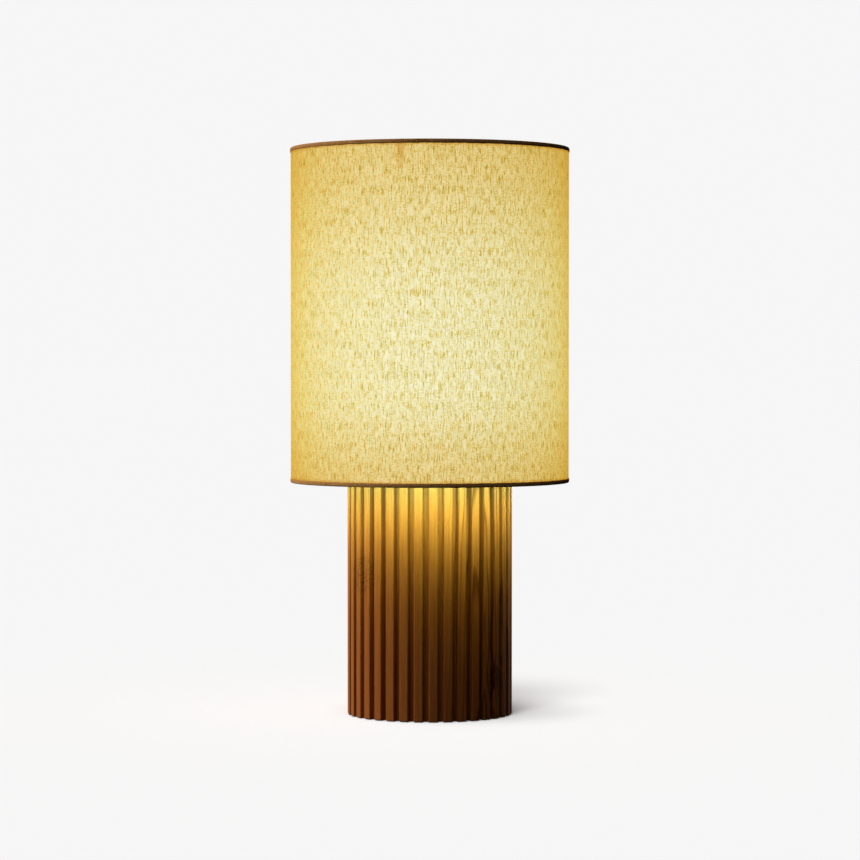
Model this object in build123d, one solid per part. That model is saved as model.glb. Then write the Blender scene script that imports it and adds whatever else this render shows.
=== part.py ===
from build123d import *
from math import cos, hypot, pi, radians, sin, sqrt
import os

# A table lamp: a fluted round wood column, and a drum shade that hangs on a harp over a lit bulb.
# Millimetres. +Z is up, -Y is the front, and the origin is the centre of the foot on the table.
# Angles about the lamp's axis are in degrees, from the front, and grow towards +X.

# Clearances
seat_gap = 0.05  # between nested pieces that are fixed to each other
running_gap = 0.05  # around a shaft, inside its bore
turning_gap = 0.1  # between flat faces that turn or slide on each other
sleeve_gap = 0.15  # around the harp's leg, inside its sleeve
past = 1.0  # how far a cut runs past the face that it opens

# Column
column_diameter = 150.5
column_height = 219.4
column_wall = 9.25  # wood left behind the flutes
flute_count = 35
flute_width = 5.3
flute_depth = 7.0
flute_corner_radius = 1.0
rib_arris_radius = 0.9
first_rib_angle = 2.4
column_edge_ease = 0.6
disc_rebate_width = 6.0
top_disc_thickness = 12.0
base_disc_thickness = 10.0

# Foot
felt_thickness = 0.6
felt_inset = 2.0  # from the bottom of the flutes
ballast_gap = 2.0  # round the ballast, inside the column's bore
ballast_thickness = 8.0
nut_pocket_diameter = 30.0
nut_pocket_depth = 6.0
disc_screw_count = 4
disc_screw_diameter = 3.2
disc_screw_head_diameter = 6.0
disc_screw_length = 22.0
disc_screw_edge = 3.2  # from the base disc's rim to the screw's axis

# Cord inlet
inlet_height = 28.0  # of its axis, over the table
inlet_bore_diameter = 6.5
bushing_wall = 1.4
bushing_flange_diameter = 14.0
bushing_flange_thickness = 1.6
bushing_lip = 1.5  # past the wood, inside
spotface_depth = 0.45

# Threaded pipe and what it clamps
pipe_diameter = 10.0
pipe_bore_diameter = 7.0
pipe_tail = 0.8  # past the lower nut
washer_diameter = 25.0
washer_thickness = 1.5
nut_across_flats = 14.0
nut_thickness = 3.0

# Harp
harp_size = 266.7  # from the saddle to the seat of the shade
harp_wire_diameter = 3.4
harp_leg_spacing = 58.0
harp_belly_width = 108.0
harp_shoulder_width = 32.0
harp_leg_straight = 40.0
harp_belly_low = 57.0  # from the straight legs up to the belly
harp_belly_height = 88.0
harp_bends = [40.0, 70.0, 60.0, 14.0]  # of the wire, from a leg to the shoulder
harp_top_height = 6.6  # from the wire's line at the top to the seat of the shade
harp_boss_diameter = 10.0
harp_boss_height = 6.0
saddle_thickness = 1.6
saddle_width = 12.0
saddle_lug_height = 12.5
saddle_lug_wall = 1.1
harp_sleeve_length = 12.0
harp_sleeve_wall = 0.8
harp_foot_gap = 1.0  # from the saddle to the end of the wire
stud_pin_diameter = 4.0
stud_rivet_diameter = 6.4
stud_rivet_height = 1.2
stud_flange_diameter = 14.0
stud_flange_thickness = 1.6
stud_thread_diameter = 6.2
stud_thread_length = 10.0

# Lamp socket
socket_diameter = 33.6
socket_height = 57.0
socket_wall = 0.5
socket_cap_height = 19.0
socket_cap_boss_diameter = 16.0
socket_cap_boss_height = 5.0
socket_cap_flare_height = 7.0
socket_cap_wall = 0.6
shell_overlap = 6.0  # of the shell inside the cap
insulator_wall = 0.9
insulator_recess = 1.0  # from the shell's rim
switch_body_diameter = 29.4
switch_body_height = 19.0
switch_body_lift = 15.0  # over the bottom of the cap
screw_shell_diameter = 27.8
screw_shell_wall = 0.4
screw_shell_floor_bore = 18.0
contact_width = 5.0
contact_thickness = 0.5
contact_rise = 1.6
terminal_flat_inset = 3.2
terminal_head_diameter = 7.0
terminal_head_thickness = 2.0
terminal_slot_width = 1.2
terminal_shank_diameter = 3.4
terminal_shank_length = 5.0
set_screw_diameter = 3.0
set_screw_stand = 0.5  # out of the boss

# Turn knob of the switch
shaft_diameter = 3.2
shaft_depth = 9.0  # inside the switch body
shaft_length = 24.0
knob_diameter = 14.5
knob_length = 10.0
knob_grip_count = 18
knob_grip_radius = 0.7
knob_face_round = 1.0
knob_bore_depth = 6.5
shaft_slot_width = 5.0

# Bulb
bulb_diameter = 60.0
bulb_length = 108.0
bulb_base_diameter = 26.0
bulb_base_length = 26.0
bulb_thread_pitch = 3.63
bulb_thread_depth = 0.8
bulb_thread_turns = 4
bulb_thread_flank = 0.9  # how far a ridge takes to rise or fall
bulb_thread_land = 0.8  # along the crest of a ridge
bulb_base_wall = 0.5
bulb_tip_diameter = 9.4
bulb_tip_thickness = 1.6
bulb_insulator_height = 4.0
bulb_housing_top = 60.0  # over the bulb's tip
bulb_equator = 72.0  # over the bulb's tip
bulb_neck_diameter = 29.0
bulb_waist_diameter = 47.0
bulb_waist = 15.0  # over the neck
bulb_shoulder_diameter = 58.0
bulb_globe_wall = 1.4
bulb_housing_wall = 3.4
led_board_thickness = 1.6

# Shade
shade_diameter = 254.0  # over the linen
shade_height = 305.0
linen_thickness = 0.6
liner_thickness = 0.4
linen_seam_width = 12.0
ring_wire_diameter = 3.6
hem_height = 4.6
hem_thickness = 0.8
hem_round = 1.2
spider_drop = 25.8  # from the shade's top edge down to the spider's seat
spider_wire_diameter = 3.4
spider_bend_radius = 6.0
spider_washer_diameter = 27.0
spider_washer_bore = 8.0
spider_washer_thickness = 1.6
spider_arm_count = 3
first_arm_angle = -11.6
spider_weld_depth = 2.5  # of each arm inside the washer's rim

# Finial
finial_height = 20.0
finial_diameter = 17.0
finial_collar_diameter = 13.0
finial_collar_height = 2.0
finial_stem_diameter = 8.4
finial_bore_depth = 9.2
finial_stem_height = 10.5
finial_foot_diameter = 11.4
finial_belly = 12.0  # the height of its fullest part

# Places that follow from the sizes, from the table upwards
column_radius = column_diameter / 2
flute_floor_radius = column_radius - flute_depth
column_bore_radius = flute_floor_radius - column_wall
rebate_radius = column_bore_radius + disc_rebate_width
column_foot_z = felt_thickness
column_top_z = column_foot_z + column_height
base_disc_top_z = column_foot_z + base_disc_thickness
nut_pocket_z = column_foot_z + nut_pocket_depth
ballast_top_z = base_disc_top_z + ballast_thickness
flute_pitch = 360 / flute_count
pipe_radius = pipe_diameter / 2
pipe_hole_radius = pipe_radius + seat_gap

# The stack on the threaded pipe, over the column
top_washer_top_z = column_top_z + washer_thickness
top_nut_top_z = top_washer_top_z + nut_thickness
saddle_z = top_nut_top_z
saddle_top_z = saddle_z + saddle_thickness
socket_z = saddle_top_z
socket_cap_top_z = socket_z + socket_cap_height
socket_rim_z = socket_z + socket_height
switch_body_z = socket_z + switch_body_lift
switch_body_top_z = switch_body_z + switch_body_height
shaft_z = switch_body_z + switch_body_height / 2
shade_seat_z = saddle_z + harp_size
harp_wire_top_z = shade_seat_z - harp_top_height
leg_x = harp_leg_spacing / 2

# The socket's nested tubes, from the outside in
shell_radius = socket_diameter / 2
cap_bore_radius = shell_radius + seat_gap
cap_radius = cap_bore_radius + socket_cap_wall
insulator_radius = shell_radius - socket_wall - seat_gap
switch_body_radius = switch_body_diameter / 2
screw_shell_radius = screw_shell_diameter / 2

# The bulb rests with its tip on the centre contact
bulb_z = switch_body_top_z + screw_shell_wall + contact_rise + turning_gap
bulb_top_z = bulb_z + bulb_length
bulb_radius = bulb_diameter / 2

# The shade's nested walls, from the outside in
shade_top_z = shade_seat_z + spider_drop
shade_z = shade_top_z - shade_height
linen_radius = shade_diameter / 2
liner_radius = linen_radius - linen_thickness - seat_gap
liner_bore_radius = liner_radius - liner_thickness
ring_radius = liner_bore_radius - seat_gap - ring_wire_diameter / 2
ring_inset = hem_thickness + seat_gap + ring_wire_diameter / 2
wall_inset = hem_thickness + seat_gap
finial_z = shade_seat_z + spider_washer_thickness + turning_gap


def turned(points):
    """The solid that a lathe makes of an outline of (radius, height) points."""
    outline = Polyline([(radius, 0, height) for radius, height in points], close=True)
    return revolve(make_face(outline), Axis.Z)


def disc(radius, low, high):
    return Pos(0, 0, low) * Cylinder(radius, high - low, align=(Align.CENTER, Align.CENTER, Align.MIN))


def tube(radius, bore_radius, low, high):
    return turned([(bore_radius, low), (radius, low), (radius, high), (bore_radius, high)])


def rod(radius, start, end):
    """A round bar between two points."""
    start = Vector(*start)
    end = Vector(*end)
    plane = Plane(origin=start, z_dir=end - start)
    return plane * Cylinder(radius, (end - start).length, align=(Align.CENTER, Align.CENTER, Align.MIN))


def bent_wire(points, bends, diameter):
    """A round wire along straight runs, with one bend radius for each inner point."""
    path = FilletPolyline(*points, radius=bends)
    section = Plane(origin=path @ 0, z_dir=path % 0) * Circle(diameter / 2)
    return sweep(section, path)


def around(angle, piece):
    """The piece, made at the front or along +X, turned about the lamp's axis."""
    return Rot(0, 0, angle) * piece


def hex_nut(low, thickness):
    body = Pos(0, 0, low) * extrude(RegularPolygon(nut_across_flats / 2, 6, major_radius=False), thickness)
    return body - disc(pipe_hole_radius, low - past, low + thickness + past)


def washer(low, thickness):
    return tube(washer_diameter / 2, pipe_hole_radius, low, low + thickness)


def inlet_angle():
    """The flute nearest the back, because the inlet is drilled through a flute."""
    flute = round((180 - first_rib_angle) / flute_pitch - 0.5)
    return first_rib_angle + (flute + 0.5) * flute_pitch


def inlet_cut():
    """The drilled hole and its spot face, in the column's wall."""
    bushing_radius = inlet_bore_diameter / 2 + bushing_wall
    hole = rod(
        bushing_radius + seat_gap,
        (0, -column_bore_radius + column_wall, inlet_height),
        (0, -column_radius - past, inlet_height),
    )
    spotface = rod(
        bushing_flange_diameter / 2 + seat_gap,
        (0, -column_radius + spotface_depth, inlet_height),
        (0, -column_radius - past, inlet_height),
    )
    return around(inlet_angle(), hole + spotface)


def column_section():
    """The round section with its flutes cut and the arrises of its ribs rounded."""
    first_flute_angle = first_rib_angle + flute_pitch / 2
    # the circle starts in a flute, so that its start leaves no point on a rib
    section = Rot(0, 0, first_flute_angle - 90) * Circle(column_radius)
    slot = Pos(0, -column_radius) * RectangleRounded(flute_width, 2 * flute_depth, flute_corner_radius)
    for flute in range(flute_count):
        section -= Rot(0, 0, first_flute_angle + flute * flute_pitch) * slot
    arrises = [v for v in section.vertices() if hypot(v.X, v.Y) > column_radius - flute_depth / 2]
    return fillet(arrises, rib_arris_radius)


def fluted_column():
    eased = chamfer(Cylinder(column_radius, column_height).edges(), column_edge_ease)
    eased = Pos(0, 0, column_height / 2) * eased
    column = Pos(0, 0, column_foot_z) * (extrude(column_section(), column_height) & eased)
    column -= disc(column_bore_radius, 0, column_top_z + past)
    column -= disc(rebate_radius, 0, base_disc_top_z)
    column -= disc(rebate_radius, column_top_z - top_disc_thickness, column_top_z + past)
    for pilot in disc_screw_shanks(seat_gap):
        column -= pilot
    return column - inlet_cut()


def column_top_disc():
    return tube(rebate_radius - seat_gap, pipe_hole_radius, column_top_z - top_disc_thickness, column_top_z)


def disc_screw_places():
    radius = rebate_radius - seat_gap - disc_screw_edge
    for screw in range(disc_screw_count):
        angle = radians((screw + 0.5) * 360 / disc_screw_count)
        yield radius * sin(angle), -radius * cos(angle)


def disc_screw_shanks(gap):
    for x, y in disc_screw_places():
        low = (x, y, column_foot_z)
        high = (x, y, column_foot_z + disc_screw_length + gap)
        yield rod(disc_screw_diameter / 2 + gap, low, high)


def disc_screw_heads(gap):
    """Countersunk heads, flush with the bottom of the base disc."""
    top = disc_screw_head_diameter / 2 + gap
    height = (disc_screw_head_diameter - disc_screw_diameter) / 2
    for x, y in disc_screw_places():
        cone = Cone(top, disc_screw_diameter / 2 + gap, height, align=(Align.CENTER, Align.CENTER, Align.MIN))
        yield Pos(x, y, column_foot_z) * cone


def column_base_disc():
    base = tube(rebate_radius - seat_gap, pipe_hole_radius, column_foot_z, base_disc_top_z)
    base -= disc(nut_pocket_diameter / 2, 0, nut_pocket_z)
    for shank, head in zip(disc_screw_shanks(seat_gap), disc_screw_heads(seat_gap)):
        base -= shank + head
    return base


def base_disc_screws():
    return [shank + head for shank, head in zip(disc_screw_shanks(0), disc_screw_heads(0))]


def ballast_plate():
    return tube(column_bore_radius - ballast_gap, pipe_hole_radius, base_disc_top_z, ballast_top_z)


def felt_pad():
    return disc(flute_floor_radius - felt_inset, 0, felt_thickness)


def cord_bushing():
    """A flanged sleeve that lines the inlet, from the spot face to just inside the wall."""
    seat_y = -column_radius + spotface_depth
    inner_y = -column_bore_radius + bushing_lip
    outer_y = seat_y - bushing_flange_thickness
    sleeve = rod(inlet_bore_diameter / 2 + bushing_wall, (0, inner_y, inlet_height), (0, seat_y, inlet_height))
    flange = rod(bushing_flange_diameter / 2, (0, seat_y, inlet_height), (0, outer_y, inlet_height))
    flange = fillet(flange.edges().group_by(Axis.Y)[0], bushing_flange_thickness / 2)
    inside = (0, inner_y + past, inlet_height)
    outside = (0, outer_y - past, inlet_height)
    bore = rod(inlet_bore_diameter / 2, inside, outside)
    return around(inlet_angle(), sleeve + flange - bore)


def base_washer():
    return washer(nut_pocket_z - washer_thickness, washer_thickness)


def base_nut():
    return hex_nut(nut_pocket_z - washer_thickness - nut_thickness, nut_thickness)


def threaded_pipe():
    low = nut_pocket_z - washer_thickness - nut_thickness - pipe_tail
    high = socket_z + socket_cap_boss_height
    return tube(pipe_radius, pipe_bore_diameter / 2, low, high)


def top_washer():
    return washer(column_top_z, washer_thickness)


def top_nut():
    return hex_nut(top_washer_top_z, nut_thickness)


def saddle_lug(side):
    """A half tube that stands on the end of the saddle and cups the inside of the harp's leg."""
    bore = harp_wire_diameter / 2 + seat_gap
    lug = tube(bore + saddle_lug_wall, bore, saddle_z, saddle_z + saddle_lug_height)
    far_half = Pos(side * harp_leg_spacing / 2, 0, saddle_z + saddle_lug_height / 2) * Box(
        harp_leg_spacing, harp_leg_spacing, 2 * saddle_lug_height
    )
    return Pos(side * leg_x, 0, 0) * (lug - far_half)


def harp_saddle():
    length = harp_leg_spacing
    strip = Pos(0, 0, saddle_z + saddle_thickness / 2) * Box(length, saddle_width, saddle_thickness)
    round_end = saddle_width / 2
    strip += Pos(leg_x, 0, 0) * disc(round_end, saddle_z, saddle_top_z)
    strip += Pos(-leg_x, 0, 0) * disc(round_end, saddle_z, saddle_top_z)
    strip -= disc(pipe_hole_radius, saddle_z - past, saddle_top_z + past)
    return strip + saddle_lug(1) + saddle_lug(-1)


def harp():
    """The bowed wire in the plane of X and Z, with the boss at its top that holds the stud."""
    foot_z = saddle_top_z + harp_foot_gap
    neck_z = saddle_z + harp_leg_straight
    belly_z = neck_z + harp_belly_low
    belly_x = harp_belly_width / 2
    right_side = [
        (leg_x, foot_z),
        (leg_x, neck_z),
        (belly_x, belly_z),
        (belly_x, belly_z + harp_belly_height),
        (harp_shoulder_width / 2, harp_wire_top_z),
    ]
    left_side = [(-x, z) for x, z in right_side]
    points = [(x, 0, z) for x, z in right_side + left_side[::-1]]
    wire = bent_wire(points, harp_bends + harp_bends[::-1], harp_wire_diameter)
    boss_low = harp_wire_top_z - harp_boss_height / 2
    boss_high = harp_wire_top_z + harp_boss_height / 2
    boss = disc(harp_boss_diameter / 2, boss_low, boss_high)
    return wire + boss - disc(stud_pin_diameter / 2 + running_gap, boss_low - past, boss_high + past)


def harp_sleeve(side):
    """A collar that drops over the saddle's lug and the harp's leg and locks them together."""
    bore = harp_wire_diameter / 2 + seat_gap + saddle_lug_wall + sleeve_gap
    radius = bore + harp_sleeve_wall
    low = saddle_top_z + turning_gap
    high = low + harp_sleeve_length
    return Pos(side * leg_x, 0, 0) * tube(radius, bore, low, high)


def harp_stud():
    """The threaded stud that turns in the harp's boss and carries the shade."""
    pin = stud_pin_diameter / 2
    rivet = stud_rivet_diameter / 2
    flange = stud_flange_diameter / 2
    thread = stud_thread_diameter / 2
    boss_low = harp_wire_top_z - harp_boss_height / 2
    rivet_high = boss_low - turning_gap
    flange_low = shade_seat_z - stud_flange_thickness
    thread_high = shade_seat_z + stud_thread_length
    return turned([
        (0, rivet_high - stud_rivet_height),
        (rivet, rivet_high - stud_rivet_height),
        (rivet, rivet_high),
        (pin, rivet_high),
        (pin, flange_low - running_gap),
        (flange, flange_low),
        (flange, shade_seat_z),
        (thread, shade_seat_z),
        (thread, thread_high),
        (0, thread_high),
    ])


def socket_cap():
    """A spun cup whose boss screws on the pipe."""
    boss = socket_cap_boss_diameter / 2
    flare_z = socket_z + socket_cap_boss_height
    rim_low = flare_z + socket_cap_flare_height
    outside = [
        (pipe_hole_radius, socket_z),
        (boss, socket_z),
        (boss, flare_z),
        (cap_radius, rim_low),
        (cap_radius, socket_cap_top_z),
    ]
    inside = [
        (cap_bore_radius, socket_cap_top_z),
        (cap_bore_radius, rim_low + socket_cap_wall / 2),
        (boss - socket_cap_wall, flare_z + socket_cap_wall),
        (pipe_hole_radius, flare_z + socket_cap_wall),
    ]
    return turned(outside + inside) - set_screw_rod(set_screw_diameter / 2 + seat_gap)


def set_screw_rod(radius):
    height = socket_z + socket_cap_boss_height / 2
    outer_y = socket_cap_boss_diameter / 2 + set_screw_stand
    return rod(radius, (0, pipe_hole_radius, height), (0, outer_y, height))


def socket_set_screw():
    return set_screw_rod(set_screw_diameter / 2)


def shaft_slot(low):
    """The slot, open at the bottom, that lets a tube drop over the switch's shaft."""
    height = shaft_z - low + past
    depth = shell_radius + past
    slot = Pos(0, -depth / 2, shaft_z - height / 2) * Box(shaft_slot_width, depth, height)
    return slot + rod(shaft_slot_width / 2, (0, 0, shaft_z), (0, -depth, shaft_z))


def socket_shell():
    low = socket_cap_top_z - shell_overlap
    return tube(shell_radius, shell_radius - socket_wall, low, socket_rim_z) - shaft_slot(low)


def socket_insulator():
    low = socket_cap_top_z - shell_overlap
    high = socket_rim_z - insulator_recess
    return tube(insulator_radius, insulator_radius - insulator_wall, low, high) - shaft_slot(low)


def terminal_x():
    return switch_body_radius - terminal_flat_inset


def socket_switch_body():
    """The moulded block that holds the switch, with a flat for a terminal screw on each side."""
    body = disc(switch_body_radius, switch_body_z, switch_body_top_z)
    flat_height = switch_body_height / 2 + past
    flat_z = switch_body_z + flat_height / 2 - past
    flat = Box(switch_body_diameter, switch_body_diameter, flat_height)
    for side in (-1, 1):
        body -= Pos(side * (terminal_x() + switch_body_radius), 0, flat_z) * flat
        body -= terminal_shank(side, terminal_shank_diameter / 2 + seat_gap)
    shaft_end = (0, shaft_depth - switch_body_radius, shaft_z)
    return body - rod(shaft_diameter / 2 + running_gap, shaft_end, (0, -switch_body_radius - past, shaft_z))


def terminal_z():
    return switch_body_z + switch_body_height / 4


def terminal_shank(side, radius):
    inner = (side * (terminal_x() - terminal_shank_length), 0, terminal_z())
    return rod(radius, inner, (side * terminal_x(), 0, terminal_z()))


def terminal_screws():
    screws = []
    for side in (-1, 1):
        flat = (side * terminal_x(), 0, terminal_z())
        face = (side * (terminal_x() + terminal_head_thickness), 0, terminal_z())
        head = rod(terminal_head_diameter / 2, flat, face)
        slot = Pos(*face) * Box(terminal_head_thickness, terminal_head_diameter + past, terminal_slot_width)
        screws.append(head + terminal_shank(side, terminal_shank_diameter / 2) - slot)
    return screws


def socket_screw_shell():
    """The cup that takes the bulb's base, riveted to the top of the switch body."""
    outer = screw_shell_radius
    inner = outer - screw_shell_wall
    floor = switch_body_top_z
    rim = socket_rim_z - insulator_recess
    bore = screw_shell_floor_bore / 2
    return turned([
        (bore, floor),
        (outer, floor),
        (outer, rim),
        (inner, rim),
        (inner, floor + screw_shell_wall),
        (bore, floor + screw_shell_wall),
    ])


def socket_centre_contact():
    """A sprung strip, flat on the switch body, whose free end rises to the bulb's tip."""
    reach = screw_shell_floor_bore / 2 - contact_width / 2
    rise = screw_shell_wall + contact_rise - contact_thickness
    lower = [(-reach, 0), (-reach / 2, 0), (-reach / 4, rise), (reach / 2, rise)]
    upper = [(x, z + contact_thickness) for x, z in lower]
    points = [(x, 0, switch_body_top_z + z) for x, z in lower + upper[::-1]]
    side_view = make_face(Polyline(points, close=True))
    return extrude(side_view, contact_width / 2, both=True)


def switch_shaft():
    start = (0, shaft_depth - switch_body_radius - running_gap, shaft_z)
    return rod(shaft_diameter / 2, start, (0, start[1] - shaft_length, shaft_z))


def switch_knob():
    """A short round knob with grip grooves, pressed on the end of the shaft."""
    shaft_end = shaft_depth - switch_body_radius - running_gap - shaft_length
    back = shaft_end + knob_bore_depth - seat_gap
    front = back - knob_length
    knob = rod(knob_diameter / 2, (0, back, shaft_z), (0, front, shaft_z))
    knob = fillet(knob.edges().group_by(Axis.Y)[0], knob_face_round)
    for grip in range(knob_grip_count):
        angle = radians(grip * 360 / knob_grip_count)
        x = knob_diameter / 2 * cos(angle)
        z = shaft_z + knob_diameter / 2 * sin(angle)
        knob -= rod(knob_grip_radius, (x, back + past, z), (x, front - past, z))
    bore_end = (0, shaft_end - seat_gap, shaft_z)
    return knob - rod(shaft_diameter / 2 + seat_gap, (0, back + past, shaft_z), bore_end)


def bulb_contact():
    """The tip of the bulb: a shallow dome of solder, cut flat where it rests."""
    radius = bulb_tip_diameter / 2
    return turned([
        (0, bulb_z),
        (radius / 2, bulb_z),
        (radius, bulb_z + bulb_tip_thickness / 2),
        (radius, bulb_z + bulb_tip_thickness),
        (0, bulb_z + bulb_tip_thickness),
    ])


def bulb_thread_low():
    return bulb_z + bulb_tip_thickness + bulb_insulator_height


def bulb_insulator():
    low = bulb_z + bulb_tip_thickness / 2
    tip = bulb_tip_diameter / 2 + turning_gap
    outer = bulb_base_diameter / 2 - bulb_thread_depth - bulb_base_wall - seat_gap
    return turned([
        (tip, low),
        (tip + bulb_base_wall, low),
        (outer, bulb_thread_low()),
        (outer, bulb_thread_low() + bulb_tip_thickness),
        (tip, bulb_thread_low() + bulb_tip_thickness),
    ])


def bulb_screw_base():
    """A thin threaded cup. Its turns are drawn as round ridges, one pitch apart."""
    crest = bulb_base_diameter / 2
    root = crest - bulb_thread_depth
    low = bulb_thread_low()
    points = [(root - bulb_base_wall, low), (root, low)]
    for turn in range(1, bulb_thread_turns + 1):
        middle = low + (turn - 0.5) * bulb_thread_pitch
        points.append((root, middle - bulb_thread_land / 2 - bulb_thread_flank))
        points.append((crest, middle - bulb_thread_land / 2))
        points.append((crest, middle + bulb_thread_land / 2))
        points.append((root, middle + bulb_thread_land / 2 + bulb_thread_flank))
    high = bulb_z + bulb_base_length
    return turned(points + [(root, high), (root - bulb_base_wall, high)])


def bulb_housing():
    """The body between the base and the globe, with a skirt inside the base."""
    skirt = bulb_base_diameter / 2 - bulb_thread_depth - bulb_base_wall - seat_gap
    skirt_low = bulb_z + bulb_base_length - bulb_thread_pitch
    neck = bulb_neck_diameter / 2
    neck_low = bulb_z + bulb_base_length
    shoulder = bulb_shoulder_diameter / 2
    top = bulb_z + bulb_housing_top
    waist = bulb_waist_diameter / 2
    waist_z = neck_low + bulb_waist
    outside = [(skirt, skirt_low), (skirt, neck_low), (neck, neck_low)]
    curve_out = Spline([(neck, 0, neck_low), (waist, 0, waist_z), (shoulder, 0, top)])
    curve_in = Spline([
        (shoulder - bulb_housing_wall, 0, top),
        (waist - bulb_housing_wall, 0, waist_z),
        (skirt - bulb_housing_wall, 0, neck_low),
    ])
    base_line = Polyline([(radius, 0, height) for radius, height in outside])
    rim = Line(curve_out @ 1, curve_in @ 0)
    skirt_inside = Polyline([curve_in @ 1, (skirt - bulb_housing_wall, 0, skirt_low), (skirt, 0, skirt_low)])
    return revolve(make_face([base_line, curve_out, rim, curve_in, skirt_inside]), Axis.Z)


def bulb_led_board():
    """The board that closes the housing, on its rim and inside the globe."""
    low = bulb_z + bulb_housing_top
    radius = bulb_shoulder_diameter / 2 - bulb_globe_wall - seat_gap
    return disc(radius, low, low + led_board_thickness)


def bulb_globe():
    """The diffuser: an upright half ellipse over a short tucked-in skirt."""
    rim_z = bulb_z + bulb_housing_top
    equator_z = bulb_z + bulb_equator
    crown = bulb_top_z - equator_z
    rim_radius = bulb_shoulder_diameter / 2

    def filled(inset):
        equator = (bulb_radius - inset, 0, equator_z)
        halfway = ((bulb_radius - inset) / sqrt(2), 0, equator_z + (crown - inset) / sqrt(2))
        top = (0, 0, bulb_top_z - inset)
        rim = (rim_radius - inset, 0, rim_z)
        skirt = TangentArc(equator, rim, tangent=(0, 0, -1))
        dome = Spline([equator, halfway, top], tangents=[(0, 0, 1), (-1, 0, 0)])
        core = Polyline([top, (0, 0, rim_z), rim])
        return revolve(make_face([skirt, dome, core]), Axis.Z)

    return filled(0) - filled(bulb_globe_wall)


def shade_liner():
    return tube(liner_radius, liner_bore_radius, shade_z + wall_inset, shade_top_z - wall_inset)


def shade_fabric():
    """The linen, one thickness round the liner, and doubled where its ends lap at the back."""
    low = shade_z + wall_inset
    high = shade_top_z - wall_inset
    linen = tube(linen_radius, linen_radius - linen_thickness, low, high)
    lap_outline = Polyline(
        [
            (linen_radius - linen_thickness / 2, 0, low + hem_height),
            (linen_radius + linen_thickness, 0, low + hem_height),
            (linen_radius + linen_thickness, 0, high - hem_height),
            (linen_radius - linen_thickness / 2, 0, high - hem_height),
        ],
        close=True,
    )
    lap_arc = linen_seam_width / linen_radius * 180 / pi
    lap = revolve(make_face(lap_outline), Axis.Z, revolution_arc=lap_arc)
    return linen + Rot(0, 0, 90 - lap_arc / 2) * lap


def shade_hem(edge_z, inward):
    """A band of linen rolled over the shade's edge and its ring. inward is -1 at the top, 1 below."""
    outer = linen_radius + seat_gap + hem_thickness
    inner = ring_radius - ring_wire_diameter / 2 - seat_gap - hem_thickness
    band = make_face(Polyline([
        (inner, 0, edge_z),
        (outer, 0, edge_z),
        (outer, 0, edge_z + inward * hem_height),
        (inner, 0, edge_z + inward * hem_height),
    ], close=True))
    band = fillet([v for v in band.vertices() if abs(v.Z - edge_z) < seat_gap], hem_round)
    channel = make_face(Polyline([
        (inner + hem_thickness, 0, edge_z + inward * hem_thickness),
        (outer - hem_thickness, 0, edge_z + inward * hem_thickness),
        (outer - hem_thickness, 0, edge_z + inward * (hem_height + past)),
        (inner + hem_thickness, 0, edge_z + inward * (hem_height + past)),
    ], close=True))
    return revolve(band, Axis.Z) - revolve(channel, Axis.Z)


def shade_ring(height):
    return Pos(0, 0, height) * Torus(ring_radius, ring_wire_diameter / 2)


def shade_spider():
    """The washer that sits on the stud, and the arms that drop to it from the top ring."""
    washer_top = shade_seat_z + spider_washer_thickness
    plate = tube(spider_washer_diameter / 2, spider_washer_bore / 2, shade_seat_z, washer_top)
    arm_z = shade_seat_z + spider_washer_thickness / 2
    arm_top = shade_top_z - ring_inset - ring_wire_diameter / 2 - seat_gap
    start = spider_washer_diameter / 2 - spider_weld_depth
    route = [(0, -start, arm_z), (0, -ring_radius, arm_z), (0, -ring_radius, arm_top)]
    arm = bent_wire(route, [spider_bend_radius], spider_wire_diameter)
    for number in range(spider_arm_count):
        plate += around(first_arm_angle + number * 360 / spider_arm_count, arm)
    return plate


def finial_insert():
    """The threaded brass core of the finial, with the collar that clamps the shade."""
    collar = finial_collar_diameter / 2
    stem = finial_stem_diameter / 2
    bore = stud_thread_diameter / 2 + running_gap
    return turned([
        (bore, finial_z),
        (collar, finial_z),
        (collar, finial_z + finial_collar_height),
        (stem, finial_z + finial_collar_height),
        (stem, finial_z + finial_stem_height),
        (0, finial_z + finial_stem_height),
        (0, finial_z + finial_bore_depth),
        (bore, finial_z + finial_bore_depth),
    ])


def finial_knob():
    """A turned wood drop over the stem, fullest a little above its middle."""
    foot_z = finial_z + finial_collar_height + turning_gap
    top_z = finial_z + finial_height
    belly = (finial_diameter / 2, 0, finial_z + finial_belly)
    foot = finial_foot_diameter / 2
    bore = finial_stem_diameter / 2 + running_gap
    bore_top = finial_z + finial_stem_height + turning_gap
    side = Spline(
        [(foot, 0, foot_z), belly, (0, 0, top_z)],
        tangents=[(0.3, 0, 1), (0, 0, 1), (-1, 0, 0)],
    )
    core = Polyline([(0, 0, top_z), (0, 0, bore_top), (bore, 0, bore_top), (bore, 0, foot_z), (foot, 0, foot_z)])
    return revolve(make_face([side, core]), Axis.Z)


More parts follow.
